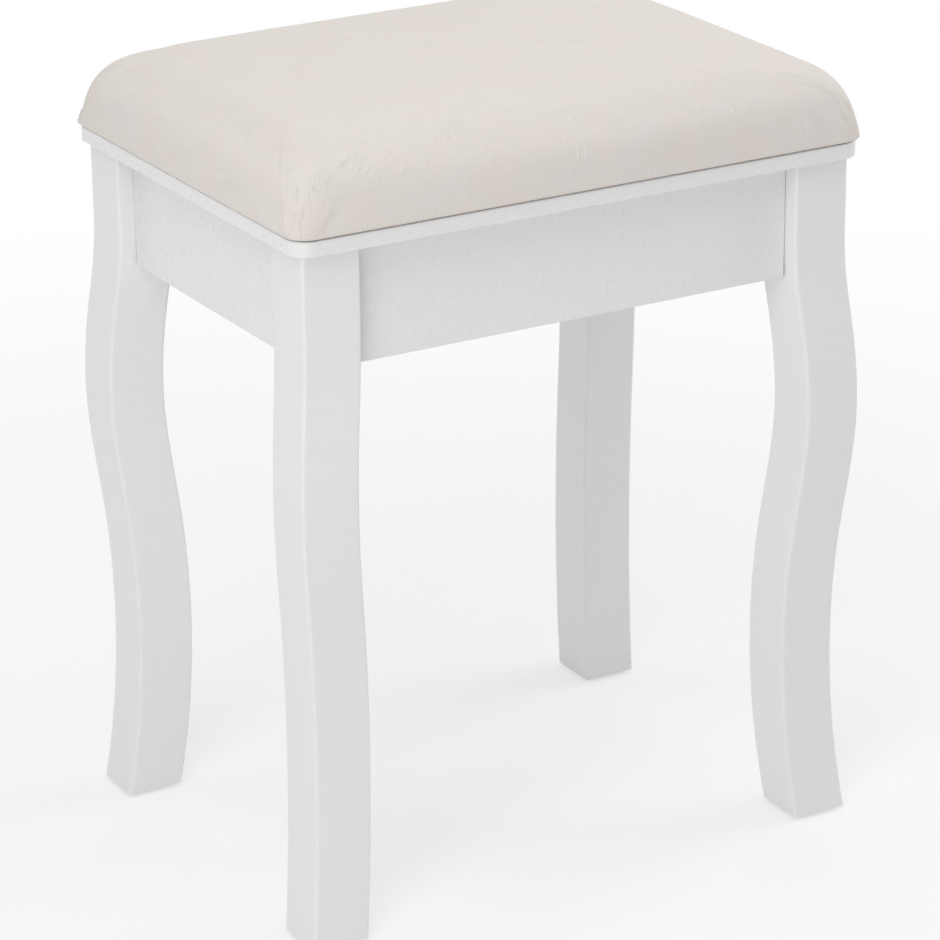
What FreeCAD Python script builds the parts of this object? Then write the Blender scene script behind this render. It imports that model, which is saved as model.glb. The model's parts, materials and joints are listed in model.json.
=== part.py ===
import FreeCAD, Part
import math
import os

# Vanity stool, in millimetres. +Z is up, +X runs along the seat's long side and +Y to its back.
# The origin is on the floor under the middle of the seat.

# Whole stool
seat_width = 360.0
seat_depth = 270.0
leg_length = 403.0

# Seat board, a plain plate with rounded corners
board_thickness = 9.0
board_corner_radius = 12.0
board_edge_round = 1.0

# Legs, sawn to the same S curve from both sides
leg_size = 35.0
leg_edge_round = 2.0
foot_inset = 0.4            # outer face to the seat board's edge, at the foot
calf_height = 50.0
calf_inset = 5.6
ankle_height = 103.0
ankle_inset = 7.8
shin_share = 0.5            # where the shin lies between ankle and knee
shin_inset = 5.1
knee_drop = 152.0           # below the leg's top
knee_inset = -0.7           # the knee stands just outside the seat board
throat_drop = 100.0
throat_inset = 2.0
neck_drop = 43.0            # the leg is straight from here up
neck_inset = 6.1
foot_flare = 0.13           # how fast the foot leans out, across over up

# Aprons
apron_height = 69.0
apron_thickness = 15.0
apron_setback = 16.5        # outer face to the seat board's edge
apron_edge_round = 1.0
apron_end_gap = 0.4         # to the leg at each end

# Corner blocks, set across the corners behind the legs
block_thickness = 18.0
block_top_gap = 2.0         # to the seat board
block_bottom_gap = 9.0      # above the aprons' lower edge
leg_flat = 10.0             # how far the leg's inner edge is planed off, along each side
leg_flat_margin = 4.0       # the flat runs this far below the block
block_leg_gap = 3.0         # what the bolts close up when they are tightened

# Leg bolts, two through each corner block
bolt_radius = 3.0
bolt_length = 40.0
bolt_spacing = 30.0
bolt_head_radius = 5.0
bolt_head_height = 6.0
hex_key_size = 5.0
hex_key_depth = 3.0
bolt_hole_gap = 0.5
flat_washer_radius = 6.0
flat_washer_thickness = 1.6
spring_washer_radius = 5.2
spring_washer_thickness = 1.8
spring_washer_slit = 1.4
washer_bore_gap = 0.3
insert_radius = 4.5
insert_length = 13.0
insert_flange_radius = 6.0
insert_flange_thickness = 1.0
insert_thread_gap = 0.05
bolt_end_room = 3.0         # hole past the end of the bolt

# Wood screws
screw_radius = 2.0
screw_head_radius = 3.8
screw_head_height = 2.4
screw_head_round = 0.8
screw_tip_length = 4.0
screw_fit_gap = 0.1
cross_width = 1.0
cross_depth = 1.5
block_screw_length = 18.0
block_screw_web = 6.0       # block wood under the screw's head
block_screw_reach = 17.0    # from the block's thick end
block_screw_spacing = 30.0
block_screw_recess_gap = 0.5
seat_screw_length = 35.0
seat_screw_inset = 60.0     # from the apron's ends
pad_screw_length = 16.0
pad_screw_inset_x = 75.0    # from the seat board's edge
pad_screw_inset_y = 60.0

# Foot glides, nailed under the legs
glide_radius = 9.0
glide_height = 2.0
glide_edge_round = 0.8
nail_radius = 1.0
nail_length = 12.0
nail_fit_gap = 0.05

# Upholstered pad
pad_overhang = 2.0          # past the seat board on every side
pad_edge_height = 42.4      # seat board to where the crown starts
pad_crown = 8.6
pad_roll = 24.0             # how far in the rounded edge reaches
pad_roll_power = 2.1        # 2 is an ellipse, more is squarer
pad_tuck = 3.0              # how far the fabric turns in at the seam
pad_tuck_height = 3.2
pad_corner_radius = 13.0    # at the seam
pad_top_corner_radius = 33.5
pad_side_bow = 1.6          # how far a side swells between its corners, half way up
pad_seam_bow = 0.2          # the same at the seam and on the crown
pad_crown_shares = [0.85, 0.7, 0.55, 0.4, 0.25]     # outlines over the crown, as shares of its foot
cover_thickness = 1.2
hem_width = 26.0            # fabric turned in under the pad
pad_board_thickness = 9.0
foam_wrap = 1.0             # foam between the board's lower edge and the cover

# Staples through the hem
staple_width = 10.0
staple_length = 7.0
staple_wire = 0.7
staple_inset = 13.0         # from the pad's edge
staple_pitch = 40.0
staple_corner_room = 30.0   # from the pad's corners to the first staple

# Where things end up, worked out from the sizes above
half_width = seat_width / 2
half_depth = seat_depth / 2
leg_top = glide_height + leg_length
board_top = leg_top + board_thickness
apron_bottom = leg_top - apron_height
block_bottom = apron_bottom + block_bottom_gap
block_top = leg_top - block_top_gap
block_middle = (block_bottom + block_top) / 2
leg_inner_x = half_width - neck_inset - leg_size
leg_inner_y = half_depth - neck_inset - leg_size
apron_inner_x = half_width - apron_setback - apron_thickness
apron_inner_y = half_depth - apron_setback - apron_thickness
long_apron_length = 2 * (leg_inner_x - apron_end_gap)
short_apron_length = 2 * (leg_inner_y - apron_end_gap)

# Lines across the corner have the form x + y = a number
flat_sum = leg_inner_x + leg_inner_y + leg_flat
block_outer_sum = flat_sum - block_leg_gap * math.sqrt(2)
block_inner_sum = block_outer_sum - block_thickness * math.sqrt(2)
washer_stack = flat_washer_thickness + spring_washer_thickness

CORNERS = {
    "front_left": (-1, -1),
    "front_right": (1, -1),
    "back_left": (-1, 1),
    "back_right": (1, 1),
}
UP = FreeCAD.Vector(0, 0, 1)
DOWN = FreeCAD.Vector(0, 0, -1)
OUTWARDS = FreeCAD.Vector(1, 1, 0).normalize()


def vec(x, y, z):
    return FreeCAD.Vector(x, y, z)


def rod(point, direction, radius, length):
    """A round bar that starts at the point and runs along the direction."""
    return Part.makeCylinder(radius, length, point, direction)


def block_between(low, high):
    """A box from its lowest to its highest corner."""
    size = high - low
    return Part.makeBox(size.x, size.y, size.z, low)


def prism(points, height):
    """A flat outline, closed and drawn upwards."""
    wire = Part.makePolygon(points + points[:1])
    return Part.Face(wire).extrude(vec(0, 0, height))


def lay_along(shape, point, direction):
    """Turn a shape that was made along +Z and set it at a point."""
    turn = FreeCAD.Rotation(UP, direction)
    placed = shape.copy()
    placed.Placement = FreeCAD.Placement(point, turn)
    return placed


def to_corner(shape, side_x, side_y):
    """Mirror a shape made in the corner at +X and +Y into another corner."""
    if side_x < 0:
        shape = shape.mirror(vec(0, 0, 0), vec(1, 0, 0))
    if side_y < 0:
        shape = shape.mirror(vec(0, 0, 0), vec(0, 1, 0))
    return shape


def in_every_corner(shapes):
    """The same pieces in all four corners, as one list."""
    return [to_corner(shape, *sides) for sides in CORNERS.values() for shape in shapes]


def upright_edges(shape, shortest):
    return [e for e in shape.Edges
            if e.Length > shortest and abs(e.tangentAt(e.FirstParameter).z) > 0.9]


# Leg

def outer_face_line(edge):
    """The leg's outer face seen from the side: distances from the middle, over the height."""
    shin_height = ankle_height + shin_share * (leg_length - knee_drop - ankle_height)
    bends = [
        (foot_inset, 0.0),
        (calf_inset, calf_height),
        (ankle_inset, ankle_height),
        (shin_inset, shin_height),
        (knee_inset, leg_length - knee_drop),
        (throat_inset, leg_length - throat_drop),
        (neck_inset, leg_length - neck_drop),
    ]
    return [(edge - inset, glide_height + height) for inset, height in bends]


def leg_side_face(edge, place):
    """The outline that the leg is sawn to, as a face; place turns (distance, height) into a point."""
    outer = [place(distance, height) for distance, height in outer_face_line(edge)]
    outer_top = place(edge - neck_inset, leg_top)
    shift = place(-leg_size, 0.0)
    curve = Part.BSplineCurve()
    curve.interpolate(Points=outer, InitialTangent=place(-foot_flare, 1.0), FinalTangent=UP)
    outer_edge = curve.toShape()
    inner_edge = outer_edge.copy()
    inner_edge.translate(shift)
    wire = Part.Wire([
        outer_edge,
        Part.makeLine(outer[-1], outer_top),
        Part.makeLine(outer_top, outer_top + shift),
        Part.makeLine(outer_top + shift, outer[-1] + shift),
        inner_edge,
        Part.makeLine(outer[0] + shift, outer[0]),
    ])
    return Part.Face(wire)


def bolt_heights():
    return [block_middle - bolt_spacing / 2, block_middle + bolt_spacing / 2]


def point_on_diagonal(total, height):
    """Where the leg's own diagonal crosses the line x + y = total."""
    offset = leg_inner_x - leg_inner_y
    return vec((total + offset) / 2, (total - offset) / 2, height)


def insert_hole(height):
    """The hole in the leg's flat: a recess for the flange, the sleeve's seat and room for the bolt."""
    mouth = point_on_diagonal(flat_sum, height)
    seat = rod(mouth, OUTWARDS, insert_radius, insert_length)
    recess = rod(mouth, OUTWARDS, insert_flange_radius, insert_flange_thickness)
    bolt_reach = bolt_length - washer_stack - block_thickness - block_leg_gap
    deep_end = rod(mouth, OUTWARDS, bolt_radius + bolt_hole_gap, bolt_reach + bolt_end_room)
    return seat.fuse([recess, deep_end])


def make_leg():
    reach = 2 * leg_size
    seen_from_front = leg_side_face(half_width, lambda d, h: vec(d, 0, h))
    seen_from_side = leg_side_face(half_depth, lambda d, h: vec(0, d, h))
    sawn_one_way = seen_from_front.extrude(vec(0, half_depth + reach, 0))
    sawn_other_way = seen_from_side.extrude(vec(half_width + reach, 0, 0))
    leg = sawn_one_way.common(sawn_other_way).Solids[0]
    leg = leg.makeFillet(leg_edge_round, upright_edges(leg, leg_size))
    flat_bottom = block_bottom - leg_flat_margin
    planed_off = prism([
        vec(leg_inner_x - 1, leg_inner_y - 1, flat_bottom),
        vec(flat_sum - leg_inner_y + 1, leg_inner_y - 1, flat_bottom),
        vec(leg_inner_x - 1, flat_sum - leg_inner_x + 1, flat_bottom),
    ], leg_top - flat_bottom)
    leg = leg.cut(planed_off)
    leg = leg.cut([insert_hole(height) for height in bolt_heights()])
    return leg.cut(rod(foot_middle(), UP, nail_radius + nail_fit_gap, nail_length))


def foot_middle():
    reach = foot_inset + leg_size / 2
    return vec(half_width - reach, half_depth - reach, glide_height)


def make_foot_glide():
    middle = foot_middle()
    disc = rod(middle, DOWN, glide_radius, glide_height)
    rim = [e for e in disc.Edges if abs(e.BoundBox.ZMax) < 0.01 and e.Closed]
    disc = disc.makeFillet(glide_edge_round, rim)
    return disc.fuse(rod(middle, UP, nail_radius, nail_length)).removeSplitter()


# Screws, made along +Z from the surface that they are driven into

def cross_recess(depth_from):
    """The cross slot in a screw's head."""
    arm = 1.3 * screw_radius
    deep = vec(0, 0, cross_depth)
    one_way = block_between(vec(-arm, -cross_width / 2, depth_from),
                            vec(arm, cross_width / 2, depth_from) + deep)
    other_way = block_between(vec(-cross_width / 2, -arm, depth_from),
                              vec(cross_width / 2, arm, depth_from) + deep)
    return one_way.fuse(other_way)


def screw_shank(length):
    straight = Part.makeCylinder(screw_radius, length - screw_tip_length)
    tip = Part.makeCone(screw_radius, 0, screw_tip_length, vec(0, 0, length - screw_tip_length), UP)
    return straight.fuse(tip)


def pan_screw(length):
    head = rod(vec(0, 0, 0), DOWN, screw_head_radius, screw_head_height)
    crown = [e for e in head.Edges if e.BoundBox.ZMax < 0.01 - screw_head_height]
    head = head.makeFillet(screw_head_round, crown)
    return head.fuse(screw_shank(length)).removeSplitter().cut(cross_recess(-screw_head_height))


def flat_screw(length):
    head = Part.makeCone(screw_head_radius, screw_radius, screw_head_height)
    return head.fuse(screw_shank(length)).removeSplitter().cut(cross_recess(0))


def pan_screw_room(length):
    return Part.makeCylinder(screw_radius + screw_fit_gap, length)


def flat_screw_room(length):
    head = Part.makeCone(screw_head_radius + screw_fit_gap, screw_radius + screw_fit_gap,
                         screw_head_height)
    return head.fuse(pan_screw_room(length))


def block_screw_places():
    """Where the corner block's screws start, under their heads, and which way they point."""
    along_x = block_outer_sum - apron_inner_y - block_screw_reach
    along_y = block_outer_sum - apron_inner_x - block_screw_reach
    places = []
    for step in (-0.5, 0.5):
        height = block_middle + step * block_screw_spacing
        places.append((vec(along_x, apron_inner_y - block_screw_web, height), vec(0, 1, 0)))
        places.append((vec(apron_inner_x - block_screw_web, along_y, height), vec(1, 0, 0)))
    return places


def seat_screw_places():
    """Screws through the seat board into the middle of the aprons' upper edges."""
    in_long = vec(long_apron_length / 2 - seat_screw_inset,
                  apron_inner_y + apron_thickness / 2, board_top)
    in_short = vec(apron_inner_x + apron_thickness / 2,
                   short_apron_length / 2 - seat_screw_inset, board_top)
    return [(in_long, DOWN), (in_short, DOWN)]


def pad_screw_places():
    """Screws from under the seat board up into the pad."""
    return [(vec(half_width - pad_screw_inset_x, half_depth - pad_screw_inset_y, leg_top), UP)]


def set_out(shape, places):
    """One screw, or the room for one, at each place in every corner."""
    return in_every_corner([lay_along(shape, point, way) for point, way in places])


# Seat board and aprons

def make_seat_board():
    board = block_between(vec(-half_width, -half_depth, leg_top),
                          vec(half_width, half_depth, board_top))
    board = board.makeFillet(board_corner_radius, upright_edges(board, 1))
    outline = [e for e in board.Edges if e.BoundBox.ZLength < 0.01]
    board = board.makeFillet(board_edge_round, outline)
    return board.cut(seat_screw_rooms + pad_screw_rooms)


def round_lower_edges(apron):
    lower = [e for e in apron.Edges
             if e.BoundBox.ZMax < apron_bottom + 0.01 and e.Length > 2 * apron_thickness]
    return apron.makeFillet(apron_edge_round, lower)


def make_long_apron():
    half = long_apron_length / 2
    apron = block_between(vec(-half, apron_inner_y, apron_bottom),
                          vec(half, apron_inner_y + apron_thickness, leg_top))
    return round_lower_edges(apron).cut(seat_screw_rooms + block_screw_rooms)


def make_short_apron():
    half = short_apron_length / 2
    apron = block_between(vec(apron_inner_x, -half, apron_bottom),
                          vec(apron_inner_x + apron_thickness, half, leg_top))
    return round_lower_edges(apron).cut(seat_screw_rooms + block_screw_rooms)


# Corner blocks and what bolts the legs to them

def make_corner_block():
    block = prism([
        vec(block_outer_sum - apron_inner_y, apron_inner_y, block_bottom),
        vec(apron_inner_x, block_outer_sum - apron_inner_x, block_bottom),
        vec(apron_inner_x, block_inner_sum - apron_inner_x, block_bottom),
        vec(block_inner_sum - apron_inner_y, apron_inner_y, block_bottom),
    ], block_top - block_bottom)
    holes = []
    for height in bolt_heights():
        start = point_on_diagonal(block_inner_sum, height)
        holes.append(rod(start, OUTWARDS, bolt_radius + bolt_hole_gap, block_thickness))
    for start, way in block_screw_places():
        recess = rod(start, way * -1, screw_head_radius + block_screw_recess_gap, block_thickness)
        holes.append(recess)
        holes.append(lay_along(pan_screw_room(block_screw_length), start, way))
    return block.cut(holes)


def on_every_bolt(make_one):
    """A piece that sits on a leg bolt, on both bolts in every corner."""
    return in_every_corner([make_one(height) for height in bolt_heights()])


def make_leg_bolt(height):
    """A socket head bolt, its head on the washers and its end in the leg's insert."""
    corner_to_corner = hex_key_size / math.cos(math.pi / 6)
    hexagon = [vec(corner_to_corner / 2 * math.cos(k * math.pi / 3),
                   corner_to_corner / 2 * math.sin(k * math.pi / 3), -bolt_head_height)
               for k in range(6)]
    head = rod(vec(0, 0, 0), DOWN, bolt_head_radius, bolt_head_height)
    rim = [e for e in head.Edges if e.BoundBox.ZMax < 0.01 - bolt_head_height]
    head = head.makeFillet(screw_head_round, rim).cut(prism(hexagon, hex_key_depth))
    bolt = head.fuse(Part.makeCylinder(bolt_radius, bolt_length)).removeSplitter()
    under_head = point_on_diagonal(block_inner_sum, height) - OUTWARDS * washer_stack
    return lay_along(bolt, under_head, OUTWARDS)


def make_flat_washer(height):
    start = point_on_diagonal(block_inner_sum, height)
    disc = rod(start, OUTWARDS * -1, flat_washer_radius, flat_washer_thickness)
    return disc.cut(rod(start, OUTWARDS * -1, bolt_radius + washer_bore_gap, flat_washer_thickness))


def make_spring_washer(height):
    ring = Part.makeCylinder(spring_washer_radius, spring_washer_thickness)
    ring = ring.cut(Part.makeCylinder(bolt_radius + washer_bore_gap, spring_washer_thickness))
    slit = block_between(vec(0, -spring_washer_slit / 2, 0),
                         vec(2 * spring_washer_radius, spring_washer_slit / 2, spring_washer_thickness))
    start = point_on_diagonal(block_inner_sum, height) - OUTWARDS * washer_stack
    return lay_along(ring.cut(slit), start, OUTWARDS)


def make_leg_insert(height):
    mouth = point_on_diagonal(flat_sum, height)
    sleeve = rod(mouth, OUTWARDS, insert_radius, insert_length)
    flange = rod(mouth, OUTWARDS, insert_flange_radius, insert_flange_thickness)
    thread = rod(mouth, OUTWARDS, bolt_radius + insert_thread_gap, insert_length)
    return sleeve.fuse(flange).removeSplitter().cut(thread)


# Upholstered pad

def bowed_outline(half_x, half_y, radius, bow, height):
    """A rounded rectangle whose sides swell by the bow between their corners."""
    slant = radius * (1 - math.sqrt(0.5))
    corners = [(1, 1), (-1, 1), (-1, -1), (1, -1)]
    edges = []
    for k, (sx, sy) in enumerate(corners):
        next_x, next_y = corners[(k + 1) % 4]
        on_y_side = vec(sx * (half_x - radius), sy * half_y, height)
        on_x_side = vec(sx * half_x, sy * (half_y - radius), height)
        knuckle = vec(sx * (half_x - slant), sy * (half_y - slant), height)
        if sx == sy:
            start, end = on_x_side, on_y_side
            next_start = vec(next_x * (half_x - radius), next_y * half_y, height)
            swell = vec(0, sy * (half_y + bow), height)
        else:
            start, end = on_y_side, on_x_side
            next_start = vec(next_x * half_x, next_y * (half_y - radius), height)
            swell = vec(sx * (half_x + bow), 0, height)
        edges.append(Part.Arc(start, knuckle, end).toShape())
        edges.append(Part.Arc(end, swell, next_start).toShape())
    return Part.Wire(edges)


def pad_form(shrink):
    """The pad's outer shape, or the shape a fabric's thickness inside it."""
    half_x = half_width + pad_overhang - shrink
    half_y = half_depth + pad_overhang - shrink
    seam_radius = pad_corner_radius - shrink
    top_radius = pad_top_corner_radius - shrink
    bottom = board_top + shrink
    edge_height = pad_edge_height - 2 * shrink
    outlines = []
    for turn in (0, 30, 60):
        angle = math.radians(turn)
        inset = pad_tuck * (1 - math.sin(angle))
        height = bottom + pad_tuck_height * (1 - math.cos(angle))
        outlines.append(bowed_outline(half_x - inset, half_y - inset, seam_radius - inset,
                                      pad_seam_bow, height))
    for turn in range(0, 91, 10):
        angle = math.radians(turn)
        inset = pad_roll * (1 - math.cos(angle) ** (2 / pad_roll_power))
        rise = (edge_height - pad_tuck_height) * math.sin(angle) ** (2 / pad_roll_power)
        radius = seam_radius + (top_radius - seam_radius) * turn / 90
        bow = pad_seam_bow + pad_side_bow * math.sin(2 * angle)
        outlines.append(bowed_outline(half_x - inset, half_y - inset, radius, bow,
                                      bottom + pad_tuck_height + rise))
    for share in pad_crown_shares:
        climb = (1 - share ** 2) / (1 - pad_crown_shares[-1] ** 2)
        outlines.append(bowed_outline(share * (half_x - pad_roll), share * (half_y - pad_roll),
                                      share * top_radius, pad_seam_bow,
                                      bottom + edge_height + pad_crown * climb))
    return Part.makeLoft(outlines, True, True)


def make_pad_board():
    inset = pad_tuck + cover_thickness + foam_wrap - pad_overhang
    bottom = board_top + cover_thickness
    board = block_between(vec(inset - half_width, inset - half_depth, bottom),
                          vec(half_width - inset, half_depth - inset, bottom + pad_board_thickness))
    radius = pad_corner_radius - pad_tuck - cover_thickness - foam_wrap
    return board.makeFillet(radius, upright_edges(board, 1))


def make_cover(staples):
    """The fabric: a skin over the foam that turns in under the pad as a hem."""
    inset = hem_width - pad_overhang
    window = block_between(vec(inset - half_width, inset - half_depth, board_top - cover_thickness),
                           vec(half_width - inset, half_depth - inset, board_top + cover_thickness))
    return pad_form(0).cut(pad_form(cover_thickness)).cut(window).cut(staples)


def make_staple():
    """A staple with its crown along X and its legs up."""
    whole = block_between(vec(-staple_width / 2, -staple_wire / 2, 0),
                          vec(staple_width / 2, staple_wire / 2, staple_length))
    between = block_between(vec(staple_wire - staple_width / 2, -staple_wire, staple_wire),
                            vec(staple_width / 2 - staple_wire, staple_wire, staple_length))
    return whole.cut(between)


def staple_row(side_length):
    """Evenly spaced places along one side of the pad."""
    run = side_length - 2 * staple_corner_room
    gaps = max(1, round(run / staple_pitch))
    return [-run / 2 + run * k / gaps for k in range(gaps + 1)]


def make_staples():
    line_x = half_width + pad_overhang - staple_inset
    line_y = half_depth + pad_overhang - staple_inset
    staple = make_staple()
    turned = staple.copy()
    turned.rotate(vec(0, 0, 0), UP, 90)
    staples = []
    for side in (-1, 1):
        for x in staple_row(seat_width):
            staples.append(staple.translated(vec(x, side * line_y, board_top)))
        for y in staple_row(seat_depth):
            staples.append(turned.translated(vec(side * line_x, y, board_top)))
    return staples


# Building the pieces

block_screw_rooms = set_out(pan_screw_room(block_screw_length), block_screw_places())
seat_screw_rooms = set_out(flat_screw_room(seat_screw_length), seat_screw_places())
pad_screw_rooms = set_out(pan_screw_room(pad_screw_length), pad_screw_places())

nodes = {}
leg = make_leg()
corner_block = make_corner_block()
foot_glide = make_foot_glide()
for corner, sides in CORNERS.items():
    nodes["leg_" + corner] = to_corner(leg, *sides)
    nodes["corner_block_" + corner] = to_corner(corner_block, *sides)
    nodes["foot_glide_" + corner] = to_corner(foot_glide, *sides)

long_apron = make_long_apron()
short_apron = make_short_apron()
nodes["apron_back"] = long_apron
nodes["apron_front"] = to_corner(long_apron, 1, -1)
nodes["apron_right"] = short_apron
nodes["apron_left"] = to_corner(short_apron, -1, 1)
nodes["seat_board"] = make_seat_board()

staples = make_staples()
pad_board = make_pad_board()
nodes["pad_board"] = pad_board.cut(staples + pad_screw_rooms)
nodes["pad_foam"] = pad_form(cover_thickness).cut(pad_board)
nodes["pad_cover"] = make_cover(staples)

# Identical fasteners share a node, as separate solids
nodes["hem_staples"] = Part.makeCompound(staples)
nodes["pad_screws"] = Part.makeCompound(set_out(pan_screw(pad_screw_length), pad_screw_places()))
nodes["seat_screws"] = Part.makeCompound(set_out(flat_screw(seat_screw_length), seat_screw_places()))
nodes["block_screws"] = Part.makeCompound(set_out(pan_screw(block_screw_length), block_screw_places()))
nodes["leg_bolts"] = Part.makeCompound(on_every_bolt(make_leg_bolt))
nodes["flat_washers"] = Part.makeCompound(on_every_bolt(make_flat_washer))
nodes["spring_washers"] = Part.makeCompound(on_every_bolt(make_spring_washer))
nodes["leg_inserts"] = Part.makeCompound(on_every_bolt(make_leg_insert))

os.makedirs("parts", exist_ok=True)
for name, shape in nodes.items():
    shape.exportStep(os.path.join("parts", name + ".step"))
    box = shape.BoundBox
    print(f"{name}: {len(shape.Solids)} solids, {shape.Volume / 1000:.1f} cm3, valid {shape.isValid()}, "
          f"z {box.ZMin:.1f} to {box.ZMax:.1f}")
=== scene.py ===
# %% [markdown]
# A small white stool for a dressing table. Four curved wooden legs carry a frame of four white
# aprons, a thin white seat board lies on them, and an upholstered pad sits on the board. The
# construction is already there as a CAD model, to the millimetre. What is left for Blender is
# what the eye sees: the lacquer, the cloth, the light, and the soft shape of the pad.
#
# The frame is loaded first. Every piece of it stays where it is, because the pieces were
# measured, and only their finishes are made here.

import json
import math

import bmesh
import bpy
from mathutils import Euler, Matrix, Vector, noise


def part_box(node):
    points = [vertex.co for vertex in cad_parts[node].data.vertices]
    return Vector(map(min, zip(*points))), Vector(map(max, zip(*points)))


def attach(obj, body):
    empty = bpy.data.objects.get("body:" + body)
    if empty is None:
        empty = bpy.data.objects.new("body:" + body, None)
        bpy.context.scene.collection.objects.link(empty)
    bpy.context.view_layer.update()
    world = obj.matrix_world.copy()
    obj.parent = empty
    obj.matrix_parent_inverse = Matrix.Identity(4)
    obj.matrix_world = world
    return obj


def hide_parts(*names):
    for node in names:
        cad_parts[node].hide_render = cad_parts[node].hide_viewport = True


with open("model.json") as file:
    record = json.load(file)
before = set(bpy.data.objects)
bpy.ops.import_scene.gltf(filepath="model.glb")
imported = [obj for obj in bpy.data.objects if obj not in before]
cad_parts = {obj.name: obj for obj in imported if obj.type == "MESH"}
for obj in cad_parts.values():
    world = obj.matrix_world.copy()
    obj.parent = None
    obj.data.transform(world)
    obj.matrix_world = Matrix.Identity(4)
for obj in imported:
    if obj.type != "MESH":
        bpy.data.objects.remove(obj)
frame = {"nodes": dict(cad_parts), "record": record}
nodes = frame["nodes"]
scene = bpy.context.scene
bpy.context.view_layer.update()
mm = 0.001

# %% [markdown]
# The camera stands where the photographer stood: to the front left of the stool, a little over
# twice its height above the ground, with a long lens that keeps the legs nearly parallel. Its place was
# found by fitting the stool's corners, so the picture can be laid over the photograph. A camera
# looks down its own -Z, so it is tipped up about X first, then turned about Z.

# %% Camera
CAMERA_PLACE = Vector((-1.0903, -1.8756, 1.0460))
CAMERA_YAW = math.radians(30.20)        # from +Y towards +X
CAMERA_PITCH = math.radians(21.11)      # below the horizon
CAMERA_ROLL = math.radians(-0.52)
CAMERA_LENS = 152.3                     # millimetres, on a sensor 36 wide

camera_data = bpy.data.cameras.new("camera")
camera_data.sensor_width = 36
camera_data.lens = CAMERA_LENS
camera_data.clip_start = 0.1
camera_data.clip_end = 60
camera = bpy.data.objects.new("camera", camera_data)
scene.collection.objects.link(camera)
tip_up = Matrix.Rotation(math.pi / 2 - CAMERA_PITCH, 3, "X")
turn_right = Matrix.Rotation(-CAMERA_YAW, 3, "Z")
lean = Matrix.Rotation(CAMERA_ROLL, 3, "Z")
camera.location = CAMERA_PLACE
camera.rotation_euler = (turn_right @ tip_up @ lean).to_euler()
scene.camera = camera
scene.view_settings.view_transform = "Standard"
print("the camera is", round(CAMERA_PLACE.length, 2), "m from the stool's middle")

# %% [markdown]
# Colours are easiest to choose as the hex values of a paint card, but the shader works in linear
# light. One function turns the first into the second. A second one adds a node: its settings are
# given by name, and its inputs either as plain values or as the output of another node, which
# makes the link. A third starts a material with its shader, whose even values are set right on
# the shader's own sockets. The fourth asks of a light ray whether it ends in the picture.

# %% Helpers for colours and materials
def linear(hex_colour):
    """An sRGB hex colour as linear red, green, blue and alpha."""
    colour = []
    for start in (1, 3, 5):
        part = int(hex_colour[start:start + 2], 16) / 255
        colour.append(part / 12.92 if part <= 0.04045 else ((part + 0.055) / 1.055) ** 2.4)
    return (*colour, 1.0)


def add_node(tree, kind, inputs=None, **settings):
    """Adds a shader node. Each input is a value, or another node's output to link to."""
    node = tree.nodes.new("ShaderNode" + kind)
    for name, value in settings.items():
        setattr(node, name, value)
    for socket, value in (inputs or {}).items():
        if isinstance(value, bpy.types.NodeSocket):
            tree.links.new(value, node.inputs[socket])
        else:
            node.inputs[socket].default_value = value
    return node


def start_material(name, **values):
    """A material with one shader. Underscores in a value's name stand for spaces."""
    material = bpy.data.materials.new(name)
    material.use_nodes = True
    tree = material.node_tree
    tree.nodes.clear()
    sockets = {socket.replace("_", " "): value for socket, value in values.items()}
    shader = add_node(tree, "BsdfPrincipled", sockets)
    add_node(tree, "OutputMaterial", {"Surface": shader.outputs["BSDF"]})
    return material, tree, shader


def is_looked_at(tree):
    """1 for a ray from the camera, off a mirror or through glass, 0 for one that carries light."""
    ray = add_node(tree, "LightPath")
    seen = add_node(tree, "Math", {0: ray.outputs["Is Camera Ray"], 1: ray.outputs["Is Glossy Ray"]},
                    operation="ADD")
    through = add_node(tree, "Math", {0: seen.outputs[0], 1: ray.outputs["Is Transmission Ray"]},
                       operation="ADD", use_clamp=True)
    return through.outputs[0]


# Sockets of the colour Mix node, which has one set for each kind of data
FACTOR, COLOUR_A, COLOUR_B, MIXED = 0, 6, 7, 2

# %% [markdown]
# The studio is white all round, as for a catalogue. The world does two jobs. To the camera, and
# in reflections, it is plain white. As light it is dimmer, so that faces turned away from the
# lamps still read as a soft grey. The ray's kind tells the two apart.

# %% White surroundings
AMBIENT_STRENGTH = 0.29

world = bpy.data.worlds.new("white_studio")
world.use_nodes = True
scene.world = world
sky = world.node_tree
sky.nodes.clear()
ambient = add_node(sky, "Background", {"Color": linear("#FFFFFF"), "Strength": AMBIENT_STRENGTH})
backdrop = add_node(sky, "Background", {"Color": linear("#FFFFFF"), "Strength": 1.0})
either = add_node(sky, "MixShader", {0: is_looked_at(sky), 1: ambient.outputs[0],
                                     2: backdrop.outputs[0]})
add_node(sky, "OutputWorld", {"Surface": either.outputs[0]})
print("the world lights with strength", AMBIENT_STRENGTH, "and shows as 1")

# %% [markdown]
# The floor is a wide pale disc. It has to melt into the white background and still hold the
# stool's shadow. So to the camera it is mostly its own white, with a share of real lit surface
# that the shadow darkens. Further out that share fades to nothing, and the edge of the disc
# disappears. The fade follows the floor's own coordinates, so it is the same from every side.

# %% Pale floor that keeps the shadow
FLOOR_RADIUS = 8.0
FLOOR_DROP = 0.1 * mm          # keeps the floor from touching the glides' faces
SHADOW_SHARE = 0.45            # how much of what the camera sees there is lit surface
SHADOW_FADE_FROM = 0.35        # metres from the middle
SHADOW_FADE_TO = 1.3
PAPER = "#F7F7F7"

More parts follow.
